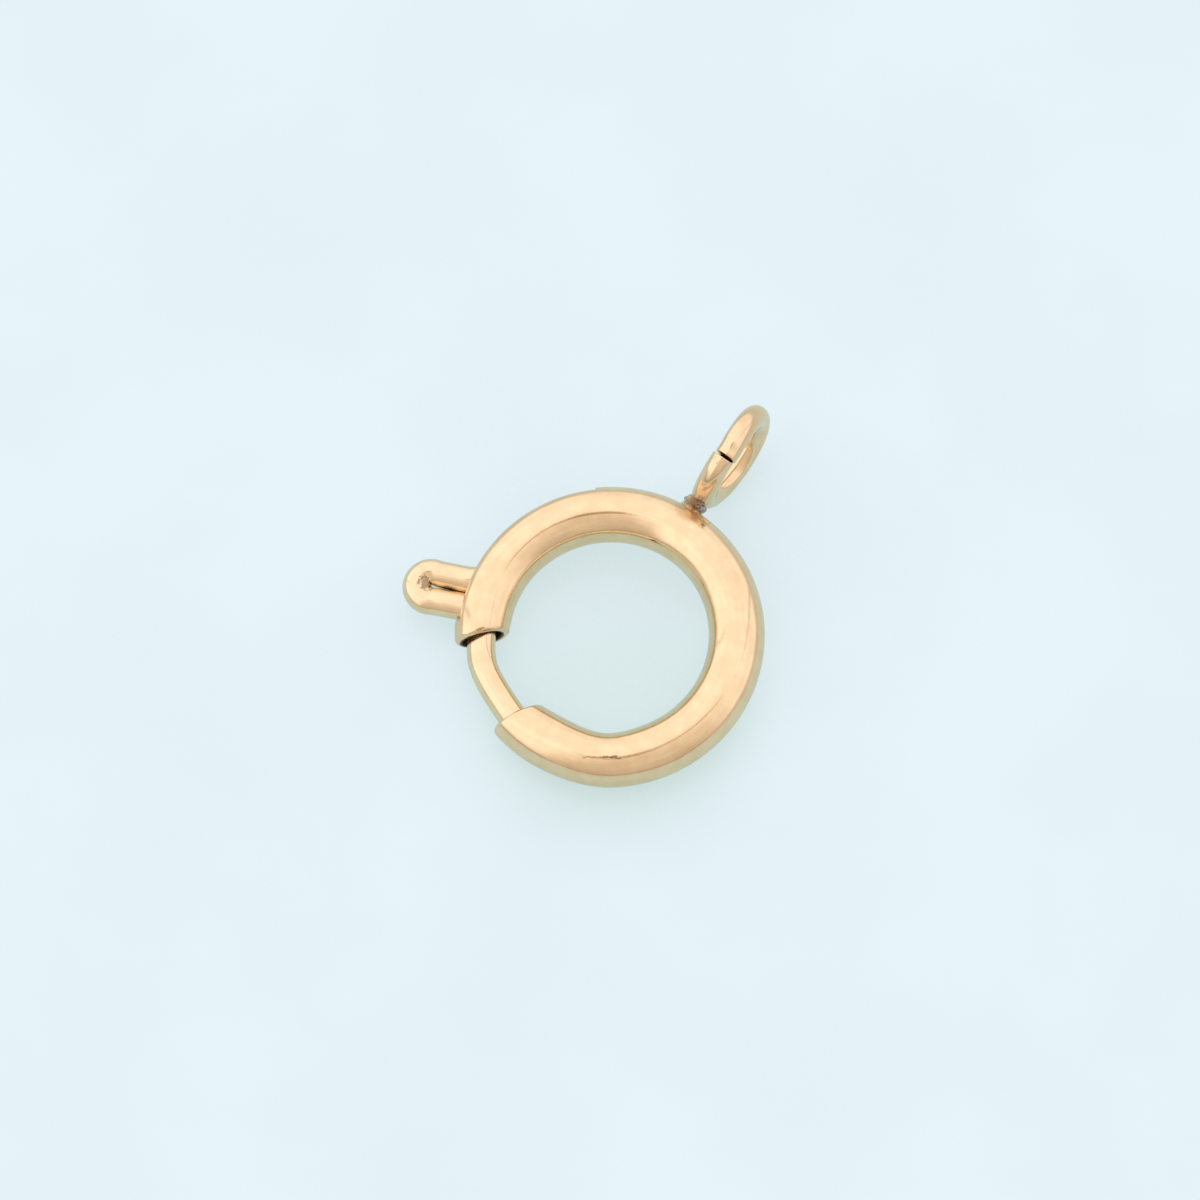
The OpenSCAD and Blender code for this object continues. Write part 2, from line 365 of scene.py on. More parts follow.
bpy.ops.object.mode_set(mode="EDIT")
cuts = [
    (Vector((0, 0, SLOT_W / 2)), Vector((0, 0, 1))),
    (Vector((0, 0, -SLOT_W / 2)), Vector((0, 0, 1))),
    (Vector((0, 0, 0)), ray(SLOT_NEAR_AZ + 90)),
    (Vector((0, 0, 0)), ray(SLOT_FAR_AZ + 90)),
]
for place, normal in cuts:
    pick(tube, "FACE", lambda f: by_slot(middle(f), CUT_MARGIN_AZ, CUT_MARGIN_Z))
    bpy.ops.mesh.bisect(plane_co=place, plane_no=normal)
cut_out = pick(tube, "FACE", lambda f: by_slot(middle(f)))
bpy.ops.mesh.delete(type="FACE")
bpy.ops.object.mode_set(mode="OBJECT")
apply_modifier(tube, "SOLIDIFY", thickness=WALL, offset=-1, use_even_offset=True)
print("the slot takes", cut_out, "faces out of the shell")

# %% [markdown]
# A sawn tube is filed and tumbled before it is plated, so its lips are round outside and only broken
# inside. The edit-mode bevel rounds each rim by its own width.

# %% Round the lips
LIP_ROUND = 0.12
INNER_ROUND = 0.035
SLOT_ROUND = 0.035
CUT_SLACK = 0.004
RIM_FACING = 0.6
SHARP_ANGLE = math.radians(50)


def on_cut(place, centre, normal):
    """Whether a place lies in the plane of one of the tube's two cuts, and near it."""
    return abs((place - centre).dot(normal)) < CUT_SLACK and (place - centre).length < 1.3 * TUBE_R


mouth_cut = RING_R * ray(MOUTH_AZ)
lips = [
    (mouth_cut, ray(MOUTH_AZ + 90 + MOUTH_SKEW)),
    (catch_cut, ray(CATCH_AZ - 90 - CATCH_SKEW)),
]
bpy.ops.object.mode_set(mode="EDIT")
for centre, normal in lips:
    for inner, width, segments in ((False, LIP_ROUND, 5), (True, INNER_ROUND, 2)):
        def rim_edge(edge):
            near = (middle(edge) - centre).length < TUBE_R - WALL / 2
            return (all(on_cut(v.co, centre, normal) for v in edge.verts)
                    and near == inner
                    and any(abs(f.normal.dot(normal)) < RIM_FACING for f in edge.link_faces))
        picked = pick(tube, "EDGE", rim_edge)
        bpy.ops.mesh.bevel(offset=width, segments=segments, affect="EDGES", clamp_overlap=False)
        print("lip edges rounded:", picked)


def slot_edge(edge):
    """Whether an edge is one of the sharp edges round the slot."""
    return (len(edge.link_faces) == 2 and edge.calc_face_angle(0) > SHARP_ANGLE
            and by_slot(middle(edge), az_margin=1, z_margin=0.02))


picked = pick(tube, "EDGE", slot_edge)
bpy.ops.mesh.bevel(offset=SLOT_ROUND, segments=2, affect="EDGES", clamp_overlap=False)
print("slot edges rounded:", picked)
bpy.ops.object.mode_set(mode="OBJECT")

# %% [markdown]
# ## The bail
# The bail is a short length of thinner wire, bent round until its ends nearly meet, and set on edge. A
# torus would be closed, so a circle is spun by just less than a full turn and its two ends are filled and
# broken. The cut ends of the real one have sprung a little past each other, which proportional editing
# gives: the end is moved and the wire behind it follows. The wire was snipped off at a slant, so the cut
# faces are turned a little as well, most of all the far one.

# %% Bend the bail's wire
BAIL_R = 1.41
BAIL_WIRE_R = 0.34
NECK_AZ = 57.7
BAIL_LEAN = -4
BAIL_TWIST = -1.6
NECK_H = 0.2
SPLIT_AT = 112
SPLIT_W = 0.06
BAIL_STEPS = 96
BAIL_SIDES = 40
END_ROUND = 0.03
END_SLACK = 0.01


def along_wire(place, end):
    """How far a place lies from the bail's cut end, along the wire and anticlockwise."""
    return (place - end).dot(ray(azimuth(end) + 90))


split_half = math.degrees(SPLIT_W / 2 / BAIL_R)
near_end = BAIL_R * ray(SPLIT_AT + split_half)
far_end = BAIL_R * ray(SPLIT_AT - split_half)
bail = start_ring("bail", near_end, ray(SPLIT_AT + split_half + 90), BAIL_WIRE_R, BAIL_SIDES)
spin_on(360 - 2 * split_half, (0, 0, 0), BAIL_STEPS)
for end in (near_end, far_end):
    pick(bail, "EDGE", lambda e: e.is_boundary and (middle(e) - end).length < 1.1 * BAIL_WIRE_R
         and abs(along_wire(middle(e), end)) < END_SLACK)
    bpy.ops.mesh.edge_face_add()
    bpy.ops.mesh.bevel(offset=END_ROUND, segments=3, affect="EDGES", clamp_overlap=False)
finish_edit()
print("the bail's wire:", len(bail.data.vertices), "vertices")

# %% Let the bail's ends spring apart
SPRING_REACH = 2.2
CUT_REACH = 0.7
FAR_END_MOVE = (-0.02, 0.075, 0.23)
FAR_CUT_TURN = -18
NEAR_END_MOVE = (0.065, 0.01, 0.17)
NEAR_CUT_TURN = -9
ENDS = [  # end, side on which its wire lies, move, turn of its cut face
    (far_end, -1, FAR_END_MOVE, FAR_CUT_TURN),
    (near_end, 1, NEAR_END_MOVE, NEAR_CUT_TURN),
]
bpy.ops.object.mode_set(mode="EDIT")
for end, side, move, cut_turn in ENDS:
    picked = pick(bail, "VERT", lambda v: -END_SLACK < side * along_wire(v.co, end) < 2 * END_ROUND
                  and (v.co - end).length < 1.2 * BAIL_WIRE_R)
    print("vertices at this end:", picked)
    bpy.ops.transform.translate(value=move, **with_neighbours(SPRING_REACH))
    inner_edge = end * (1 - BAIL_WIRE_R / BAIL_R) + Vector(move)
    bpy.ops.transform.rotate(value=-math.radians(cut_turn), orient_axis="Z", center_override=inner_edge,
                             **with_neighbours(CUT_REACH))
bpy.ops.object.mode_set(mode="OBJECT")

# %% Stand the bail on the ring
bail_az = NECK_AZ + BAIL_LEAN
bail_foot = (RING_R + TUBE_R + NECK_H) * ray(NECK_AZ)
bail_centre = bail_foot + (BAIL_R + BAIL_WIRE_R) * ray(bail_az)
bail.matrix_world = (
    Matrix.Translation(bail_centre)
    @ Matrix.Rotation(math.radians(bail_az), 4, "Z")
    @ Matrix.Rotation(math.radians(90 + BAIL_TWIST), 4, "X")
)
cut_face = far_end * (1 - BAIL_WIRE_R / BAIL_R) + Vector(FAR_END_MOVE)
cut_face = bail.matrix_world @ (cut_face + BAIL_WIRE_R * ray(azimuth(far_end) + FAR_CUT_TURN))
select_only(bail)
bpy.ops.object.transform_apply(location=True, rotation=True, scale=True)

# %% [markdown]
# Solder holds the bail. It has crept up the wire in a thin fillet, and on one side it stands out as a bead.
# The fillet is a ring swept along a short row of radii, and the beads are flattened balls. Then a Boolean
# union makes the tube, the solder and the bail one solid, as heat does.

# %% Run the solder
SOLDER_PROFILE = [  # distance from the tube's surface, radius
    (-0.14, 0.45), (-0.05, 0.41), (0.0, 0.375), (0.04, 0.352),
    (0.1, 0.342), (0.17, 0.337), (0.25, 0.325), (0.33, 0.3),
]
neck_way = ray(NECK_AZ)
neck_side = ray(NECK_AZ - 90)


def at_neck(out, aside=0.0, up=0.0):
    """A place at the bail's neck: how far out of the tube's surface, aside towards +X, and up."""
    return (RING_R + TUBE_R + out) * neck_way + aside * neck_side + Vector((0, 0, up))


reach, radius = SOLDER_PROFILE[0]
solder = start_ring("solder", at_neck(reach), neck_way, radius, BAIL_SIDES)
bpy.ops.mesh.edge_face_add()
for next_reach, next_radius in SOLDER_PROFILE[1:]:
    next_ring(at_neck(reach), at_neck(next_reach), grow=next_radius / radius)
    reach, radius = next_reach, next_radius
finish_edit()
print("the solder's fillet:", len(solder.data.vertices), "vertices")

# %% Beads of solder that were squeezed out
BEAD_PRESS = (1, 1, 0.8)
SOLDER_BEADS = [  # distance from the tube's surface, distance aside, height, radius
    (0.13, 0.30, 0.16, 0.13),
    (0.17, -0.28, 0.14, 0.065),
    (0.09, 0.16, 0.29, 0.08),
]
melted = [bail, solder]
for reach, aside, height, radius in SOLDER_BEADS:
    place = at_neck(reach, aside, height)
    bpy.ops.mesh.primitive_ico_sphere_add(subdivisions=3, radius=radius, location=place)
    bead = bpy.context.object
    bpy.ops.object.mode_set(mode="EDIT")
    bpy.ops.transform.resize(value=BEAD_PRESS, center_override=place)
    bpy.ops.object.mode_set(mode="OBJECT")
    bpy.ops.object.transform_apply(location=True, rotation=True, scale=True)
    melted.append(bead)
print("beads:", len(SOLDER_BEADS))

# %% Melt them together
for part in melted:
    apply_modifier(tube, "BOOLEAN", operation="UNION", solver="EXACT", object=part)
    bpy.data.objects.remove(part)
print("the soldered case has", len(tube.data.vertices), "vertices")

# %% Place the tube
lay_down(tube)
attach(tube, "case")
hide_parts("ring_case")

# %% [markdown]
# ## The bolt
# One piece of wire makes the tongue, the thumb lever and the tail. It is bent as the maker bends it: a ring
# of vertices starts at the tongue's round tip and is spun and extruded along tongue, bend, leg, fold, leg,
# bend and tail, in one run. A curve with a bevel would do for the path, but here the wire is drawn thinner
# at the lever and stepped down at the tail.

# %% Sizes of the bolt
BOLT_R = 0.42
LEVER_WIRE_R = 0.41
FOLD_WIRE_R = 0.40
TAIL_R = 0.27
TIP_AZ = 228.5
TAIL_AZ = 129
LEVER_AZ = 168
LEVER_OFFSET = 0.49
FOLD_REACH = 5.42
LEG_R = 0.418
FOLD_R = 0.438
LEG_LEAN = 1.5
TONGUE_BEND_R = 0.45
TAIL_BEND_R = 1.245
WIRE_SIDES = 48

fold_centre = FOLD_REACH * ray(LEVER_AZ) + LEVER_OFFSET * ray(LEVER_AZ - 90)
low_leg = LEVER_OFFSET - LEG_R
low_across = low_leg - TONGUE_BEND_R
low_along = math.sqrt((RING_R + TONGUE_BEND_R) ** 2 - low_across**2)
tongue_az = LEVER_AZ + math.degrees(math.atan2(-low_across, low_along))
low_bend = (RING_R + TONGUE_BEND_R) * ray(tongue_az)
high_leg_az = LEVER_AZ - LEG_LEAN
high_leg = fold_centre.dot(ray(high_leg_az - 90)) + LEG_R
high_across = high_leg + TAIL_BEND_R
high_along = math.sqrt((RING_R + TAIL_BEND_R) ** 2 - high_across**2)
tail_bend_az = high_leg_az - math.degrees(math.atan2(high_across, high_along))
high_bend = (RING_R + TAIL_BEND_R) * ray(tail_bend_az)
high_leg_foot = high_along * ray(high_leg_az) + high_leg * ray(high_leg_az - 90)
print("the tongue leaves the ring at", round(tongue_az, 1),
      "and the tail joins it at", round(tail_bend_az, 1))

# %% Tongue, from its round tip to the bend
TIP_ANGLES = (78, 62, 46, 30, 15, 0)
TONGUE_STEPS = 40
NARROWING_AZ = 6
NARROWING_STEPS = 5


def tip_place(angle):
    """A ring on the tongue's round tip: its middle, its radius, and how many degrees it stands out."""
    past = math.degrees(BOLT_R * math.sin(math.radians(angle)) / RING_R)
    return RING_R * ray(TIP_AZ + past), BOLT_R * math.cos(math.radians(angle)), past


here, radius, past = tip_place(TIP_ANGLES[0])
bolt = start_ring("bolt_wire", here, ray(TIP_AZ + past - 90), radius, WIRE_SIDES)
bpy.ops.mesh.edge_face_add()
for angle in TIP_ANGLES[1:]:
    there, next_radius, next_past = tip_place(angle)
    next_ring(here, there, turn=next_past - past, grow=next_radius / radius)
    here, radius, past = there, next_radius, next_past
spin_on(tongue_az + NARROWING_AZ - TIP_AZ, (0, 0, 0), TONGUE_STEPS)
here = RING_R * ray(tongue_az + NARROWING_AZ)
narrower = (LEVER_WIRE_R / BOLT_R) ** (1 / NARROWING_STEPS)
for step in range(NARROWING_STEPS):
    there = RING_R * ray(tongue_az + NARROWING_AZ * (1 - (step + 1) / NARROWING_STEPS))
    next_ring(here, there, turn=-NARROWING_AZ / NARROWING_STEPS, grow=narrower)
    here = there

# %% Lever: bend, leg, fold, leg
LOW_BEND_STEPS = 16
LEG_STEPS = 14
FOLD_STEPS = 36
PINCH_REACH = 0.32
HEAD_SPREAD = FOLD_R - LEG_R
low_leg_foot = low_along * ray(LEVER_AZ) + low_leg * ray(LEVER_AZ - 90)
low_leg_head = fold_centre - FOLD_R * ray(LEVER_AZ - 90)
high_leg_head = fold_centre + FOLD_R * ray(high_leg_az - 90)


def leg_place(foot, head, share):
    """A place on a leg's middle line, which opens out a little just before the fold."""
    straight_head = head + (fold_centre - head).normalized() * HEAD_SPREAD
    line = foot.lerp(straight_head, share)
    left = (1 - share) * (head - foot).length
    open_out = max(0, 1 - left / PINCH_REACH) ** 2
    return line + (head - straight_head) * open_out


def run_leg(first, last, foot, head, grow):
    """Extrudes a leg from one share of its length to the other."""
    for step in range(LEG_STEPS):
        here = leg_place(foot, head, first + (last - first) * step / LEG_STEPS)
        there = leg_place(foot, head, first + (last - first) * (step + 1) / LEG_STEPS)
        next_ring(here, there, grow=grow ** (1 / LEG_STEPS))


spin_on(LEVER_AZ - 90 - (tongue_az - 180), low_bend, LOW_BEND_STEPS)
run_leg(0, 1, low_leg_foot, low_leg_head, FOLD_WIRE_R / LEVER_WIRE_R)
spin_on(-180 - LEG_LEAN, fold_centre, FOLD_STEPS)
run_leg(1, 0, high_leg_foot, high_leg_head, LEVER_WIRE_R / FOLD_WIRE_R)

# %% Tail: the last bend and the thin pin behind its shoulder
HIGH_BEND_STEPS = 20
SHOULDER_AZ = 0.5
SHOULDER_GROW = 0.96
TAIL_STEPS = 10
TAIL_END_AZ = 0.8
TAIL_END_GROW = 0.8
spin_on(tail_bend_az + 180 - (high_leg_az + 90), high_bend, HIGH_BEND_STEPS)
shoulder = RING_R * ray(tail_bend_az - SHOULDER_AZ)
next_ring(RING_R * ray(tail_bend_az), shoulder, turn=-SHOULDER_AZ, grow=SHOULDER_GROW)
next_ring(shoulder, shoulder, grow=TAIL_R / LEVER_WIRE_R / SHOULDER_GROW)
spin_on(TAIL_AZ - tail_bend_az + SHOULDER_AZ, (0, 0, 0), TAIL_STEPS)
next_ring(RING_R * ray(TAIL_AZ), RING_R * ray(TAIL_AZ - TAIL_END_AZ), turn=-TAIL_END_AZ, grow=TAIL_END_GROW)
bpy.ops.mesh.edge_face_add()
finish_edit()
print("the bolt's wire:", len(bolt.data.vertices), "vertices")

# %% Let the tongue sway, and wrinkle the inside of the fold
TONGUE_SWAY = [(190, 0.05, 0.9), (213, -0.055, 1.1)]  # direction, distance outwards, reach
SWAY_HALF_AZ = 0.6
TONGUE_OUTSIDE = RING_R + BOLT_R + 0.1
WRINKLES = [(62, 0.045), (24, 0.05), (-12, 0.045), (-48, 0.04)]  # direction from the lever's, depth
WRINKLE_REACH = 0.085
WRINKLE_TOP = 0.3
WRINKLE_OUT = 0.2
WRINKLE_FACING = 0.985
bpy.ops.object.mode_set(mode="EDIT")
for az, out, reach in TONGUE_SWAY:
    picked = pick(bolt, "VERT", lambda v: abs(azimuth(v.co) - az) < SWAY_HALF_AZ
                  and v.co.xy.length < TONGUE_OUTSIDE)
    bpy.ops.transform.translate(value=out * ray(az), **with_neighbours(reach))
    print("the tongue sways by", out, "mm at", az, "with", picked, "vertices")
for turn, depth in WRINKLES:
    way = ray(LEVER_AZ + turn)
    picked = pick(bolt, "VERT", lambda v: 0 < v.co.z < WRINKLE_TOP
                  and (v.co - fold_centre).xy.length < WRINKLE_OUT
                  and (v.co - fold_centre).xy.normalized().dot(way.xy) > WRINKLE_FACING)
    bpy.ops.transform.translate(value=-depth * way + Vector((0, 0, depth / 2)),
                                **with_neighbours(WRINKLE_REACH, falloff="SHARP"))
    print("a wrinkle of", picked, "vertices")
bpy.ops.object.mode_set(mode="OBJECT")

# %% Place the bolt
lay_down(bolt)
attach(bolt, "bolt")
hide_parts("bolt")

# %% [markdown]
# ## The spring
# A coil spring of thin steel wire fills the tube between the bolt's tail and the crimp. It can be seen
# through the slot only. The wire's round section is drawn once and swept by a Screw modifier, whose screw
# height and turns make the straight coil, and a Curve modifier bends it round the ring. When the bolt is
# pulled back the whole spring shortens. The spring's arc is longer than half a circle, and it is made in
# two lengths that meet on the far side of the ring.

# %% Sizes of the spring
SPRING_R = 0.43
SPRING_WIRE_R = 0.07
SPRING_TURNS = 36
TURN_STEPS = 16
SPRING_SIDES = 8
SPRING_GAP = 0.04
CRIMP_SPAN = 5
WAY_STEPS = 96

end_gap = math.degrees((SPRING_GAP + SPRING_WIRE_R) / RING_R)
spring_from = tail_bend_az - end_gap
spring_to = CRIMP_AZ + CRIMP_SPAN / 2 - 360 + end_gap
spring_mid = (spring_from + spring_to) / 2
print("the spring fills", round(spring_from - spring_to, 1), "degrees of the tube")


# %% Wind a length of spring and bend it into the tube
def wind_spring(name, from_az, to_az, turns):
    """One length of coil, whose wire starts and ends on the upper side of the tube."""
    length = RING_R * math.radians(from_az - to_az)
    coil = start_ring(name, Vector((0, 0, SPRING_R)), Vector((0, 1, 0)), SPRING_WIRE_R, SPRING_SIDES)
    bpy.ops.object.mode_set(mode="OBJECT")
    apply_modifier(coil, "SCREW", axis="X", angle=math.radians(360 * turns), screw_offset=length,
                   steps=TURN_STEPS * turns, render_steps=TURN_STEPS * turns, use_merge_vertices=False,
                   use_smooth_shade=True)
    bpy.ops.object.mode_set(mode="EDIT")
    pick(coil, "EDGE", lambda e: e.is_boundary)
    bpy.ops.mesh.edge_face_add()
    finish_edit()
    way = bpy.data.curves.new(name + "_way", "CURVE")
    way.dimensions = "3D"
    line = way.splines.new("POLY")
    line.points.add(WAY_STEPS)
    for step, point in enumerate(line.points):
        point.co = (*(RING_R * ray(from_az + (to_az - from_az) * step / WAY_STEPS)), 1)
    guide = bpy.data.objects.new(name + "_way", way)
    bpy.context.scene.collection.objects.link(guide)
    apply_modifier(coil, "CURVE", object=guide, deform_axis="POS_X")
    bpy.data.objects.remove(guide)
    reach = max(v.co.xy.length for v in coil.data.vertices)
    print(name, "reaches out to", round(reach, 3), "mm")
    return coil


near_coil = wind_spring("spring_near", spring_from, spring_mid, SPRING_TURNS // 2)
far_coil = wind_spring("spring_far", spring_mid, spring_to, SPRING_TURNS // 2)

# %% Place the spring
first = LAY @ (RING_R * ray(spring_from))
meeting = LAY @ (RING_R * ray(spring_mid))
last = LAY @ (RING_R * ray(spring_to))
for coil, start, end in (
    (near_coil, first, first + 2 * (meeting - first)),
    (far_coil, last - 2 * (last - meeting), last),
):
    lay_down(coil, sharp_angle=60)
    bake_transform(coil)
    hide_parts("spring")

# %% [markdown]
# ## Node trees by short calls
# A shader is a graph of small boxes, and a few helpers make it read like a formula. Each call adds one box,
# fills its sockets with numbers or with another box's output, and gives its own output back.

# %% Helpers: nodes and numbers
def put(tree, value, socket):
    """Fills a socket with a number, a colour or another node's output."""
    if isinstance(value, bpy.types.NodeSocket):
        tree.links.new(value, socket)
    else:
        socket.default_value = value


def add_node(tree, kind, values=(), **settings):
    """Adds a node, sets it, and fills its sockets, which are given by name or number."""
    node = tree.nodes.new("ShaderNode" + kind)
    for key, value in settings.items():
        setattr(node, key, value)
    for name, value in dict(values).items():
        put(tree, value, node.inputs[name])
    return node


def calc(tree, operation, *values):
    """One Math node."""
    return add_node(tree, "Math", enumerate(values), operation=operation).outputs[0]


def times(tree, first, second):
    """Multiplies two numbers."""
    return calc(tree, "MULTIPLY", first, second)


def diagonal(tree, first, second):
    """The root of the sum of two squares."""
    return calc(tree, "SQRT", calc(tree, "ADD", times(tree, first, first), times(tree, second, second)))


# %% Helpers: vectors
def vector_calc(tree, operation, first, second, result="Vector"):
    """One Vector Math node."""
    return add_node(tree, "VectorMath", enumerate((first, second)), operation=operation).outputs[result]


def dot(tree, first, second):
    """How far one vector reaches along another."""
    return vector_calc(tree, "DOT_PRODUCT", first, second, "Value")


def distance(tree, first, second):
    """The distance between two places."""
    return vector_calc(tree, "DISTANCE", first, second, "Value")


def split_vector(tree, vector):
    """The three parts of a vector."""
    return add_node(tree, "SeparateXYZ", {0: vector}).outputs


# %% Helpers: patterns and mixes
def ramp(tree, value, low, high, at_low=0.0, at_high=1.0):
    """A smooth step from one value to another as the input goes from low to high."""
    values = {"Value": value, "From Min": low, "From Max": high, "To Min": at_low, "To Max": at_high}
    return add_node(tree, "MapRange", values, interpolation_type="SMOOTHSTEP").outputs["Result"]


def noise(tree, place, scale, detail=2.0):
    """A soft cloudy pattern, from 0 to 1."""
    return add_node(tree, "TexNoise", {"Vector": place, "Scale": scale, "Detail": detail}).outputs["Fac"]


def mix_values(tree, share, first, second):
    """Mixes two numbers by a share."""
    return add_node(tree, "Mix", {0: share, 2: first, 3: second}).outputs[0]


def mix_colours(tree, share, first, second):
    """Mixes two colours by a share."""
    return add_node(tree, "Mix", {0: share, 6: first, 7: second}, data_type="RGBA").outputs[2]


# %% [markdown]
# ## Light: a white tent
# Polished gold shows little of its own. It shows what stands round it, so the light is most of the look.
# Such small things are photographed in a white cloth tent with a port for the lens. Lamps with soft edges
# could stand round the clasp, but each would show as a patch. Here the world itself is the tent, and its
# glow is worked out from the direction alone. The cloth is bright overhead and at the back. Its front,
# where the photographer shades it, is a warm grey wedge that opens from the port.

# %% The tent's cloth
TOP_GLOW = 1.17
LEFT_MORE = 0.08
BACK_DIM = 0.12
BACK_FROM = (0.60, 0.98)
CLOTH_SCALE = 3.0
CLOTH_CLOUD = (0.95, 1.05)
CLOUD_RANGE = (0.3, 0.7)
FRONT_LOW = 0.53
FRONT_RISE = 0.29
FRONT_TINT = (1.07, 1.0, 0.93, 1)
CLOTH_TINT = (1.0, 1.0, 1.02, 1)
LEFT_FOLD = (ray(320), -0.15, 0.20)
RIGHT_FOLD = (ray(238), -0.30, 0.30)

world = bpy.data.worlds.new("tent")
world.use_nodes = True
bpy.context.scene.world = world
tree = world.node_tree
tree.nodes.clear()
way = add_node(tree, "TexCoord").outputs["Generated"]
x, y, z = split_vector(tree, way)


def towards(side, low, high):
    """A share that grows from 0 to 1 as the tent's direction turns towards a side."""
    return ramp(tree, dot(tree, way, side), low, high)


glow = calc(tree, "SUBTRACT", TOP_GLOW, times(tree, x, LEFT_MORE))
glow = calc(tree, "SUBTRACT", glow, ramp(tree, y, *BACK_FROM, 0.0, BACK_DIM))
cloud = ramp(tree, noise(tree, way, CLOTH_SCALE), *CLOUD_RANGE, *CLOTH_CLOUD)
front = times(tree, towards(*LEFT_FOLD), towards(*RIGHT_FOLD))
front_glow = calc(tree, "MULTIPLY_ADD", z, FRONT_RISE, FRONT_LOW)
glow = times(tree, mix_values(tree, front, glow, front_glow), cloud)
tint = mix_colours(tree, front, CLOTH_TINT, FRONT_TINT)
print("the cloth's nodes:", len(tree.nodes))

# %% [markdown]
# Two sewn seams run down the cloth from the port to the back corners. They are planes through the clasp, so
# the distance from each plane gives the line.

# %% The tent's seams
SEAM_WIDTH = 0.056
SEAM_DEPTH = 0.32
SEAMS = [  # normal of its plane, side to which it runs, where it starts and where it is full
    ((-0.541, 0.792, 0.283), 1.0, 0.30, 0.70),
    ((0.419, 0.899, 0.131), -1.0, 0.55, 0.90),
]

for seam_normal, side, near, far in SEAMS:
    off = calc(tree, "ABSOLUTE", dot(tree, way, seam_normal))
    line = ramp(tree, off, 0.0, SEAM_WIDTH, SEAM_DEPTH, 0.0)
    line = times(tree, line, ramp(tree, times(tree, x, side), near, far))
    glow = times(tree, glow, calc(tree, "SUBTRACT", 1.0, line))
print("seams:", len(SEAMS))

# %% [markdown]
# The tent's lower rim is dimmer than its top. On the right it starts higher than on the left, and at the
# left of the front a narrow part of it stands up again. The port itself is a dark patch with a long arm,
# where the cloth gapes round the lens. Each patch is an ellipse on a flat picture of the sky, which is the
# direction divided by its height.

# %% The tent's rim
RIM_GLOW = (0.80, 0.62)  # left, right
RIM_TOP = (0.15, 0.25)
RIM_SIDE = (ray(340), -0.3, 0.4)
RIM_FOOT = -0.02
LEFT_RIM_SIDE = (ray(213), 0.80, 0.97)
LEFT_RIM_GLOW = 0.66
LEFT_RIM_TOP = 0.30

rim_side = towards(*RIM_SIDE)
rim = ramp(tree, z, mix_values(tree, rim_side, *RIM_TOP), RIM_FOOT)
rim_glow = calc(tree, "MINIMUM", mix_values(tree, rim_side, *RIM_GLOW), glow)
glow = mix_values(tree, rim, glow, rim_glow)
left_rim = times(tree, towards(*LEFT_RIM_SIDE), ramp(tree, z, LEFT_RIM_TOP, 0.0))
glow = mix_values(tree, left_rim, glow, LEFT_RIM_GLOW)
print("the rim reaches up to", RIM_TOP, "and", LEFT_RIM_TOP)

# %% The tent's port
PORT_GLOW = 0.36
PORT_TINT = (1.25, 1.0, 0.76, 1)
PORT_EDGE = (0.55, 1.3)
PORT_PATCHES = [  # place on the flat sky, turn, half length, half width, strength
    (-0.078, -0.232, 10, 0.145, 0.100, 0.85),
    (0.120, -0.145, 24, 0.235, 0.058, 0.60),
]
SKY_LOWEST = 0.05

height = calc(tree, "MAXIMUM", z, SKY_LOWEST)
sky_x = calc(tree, "DIVIDE", x, height)
sky_y = calc(tree, "DIVIDE", y, height)
for place_x, place_y, turn, half_length, half_width, strength in PORT_PATCHES:
    step_x = calc(tree, "SUBTRACT", sky_x, place_x)
    step_y = calc(tree, "SUBTRACT", sky_y, place_y)
    length_way = ray(turn) / half_length
    width_way = ray(turn + 90) / half_width
    along = calc(tree, "ADD", times(tree, step_x, length_way.x), times(tree, step_y, length_way.y))
    across = calc(tree, "ADD", times(tree, step_x, width_way.x), times(tree, step_y, width_way.y))
    patch = ramp(tree, diagonal(tree, along, across), *PORT_EDGE, strength, 0.0)
    glow = mix_values(tree, patch, glow, PORT_GLOW)
    tint = mix_colours(tree, patch, tint, PORT_TINT)
print("port patches:", len(PORT_PATCHES))

# %% [markdown]
# Under the cloth's front edge the brown table can be seen. It shows in the gold as a thin dark line along
# the horizon.

# %% The table under the front edge
TABLE_GLOW = 0.40
TABLE_TINT = (1.15, 1.0, 0.75, 1)
TABLE_TOP = (0.09, 0.036)
TABLE_SIDE = (ray(262), 0.10, 0.70)

table = times(tree, towards(*TABLE_SIDE), ramp(tree, z, *TABLE_TOP))
glow = mix_values(tree, table, glow, TABLE_GLOW)
tint = mix_colours(tree, table, tint, TABLE_TINT)
print("the table's line is full below a height of", TABLE_TOP[1])

# %% [markdown]
# The camera should see a plain pale backdrop behind the floor's edge, and only the metal should see the
# tent. A Light Path node tells rays that come straight from the camera from those that a surface has
# turned.

# %% Give the glow to the world
BACKDROP = (0.79, 0.90, 0.95, 1)


def seen_directly(tree):
    """1 for a ray that comes straight from the camera, 0 for one that a surface has turned."""
    return add_node(tree, "LightPath").outputs["Is Camera Ray"]


tent = add_node(tree, "Background", {"Strength": glow, "Color": tint})
seen = add_node(tree, "Background", {"Color": BACKDROP})
choose = add_node(tree, "MixShader", {0: seen_directly(tree), 1: tent.outputs[0], 2: seen.outputs[0]})
add_node(tree, "OutputWorld", {"Surface": choose.outputs[0]})
print("the tent's nodes:", len(tree.nodes))
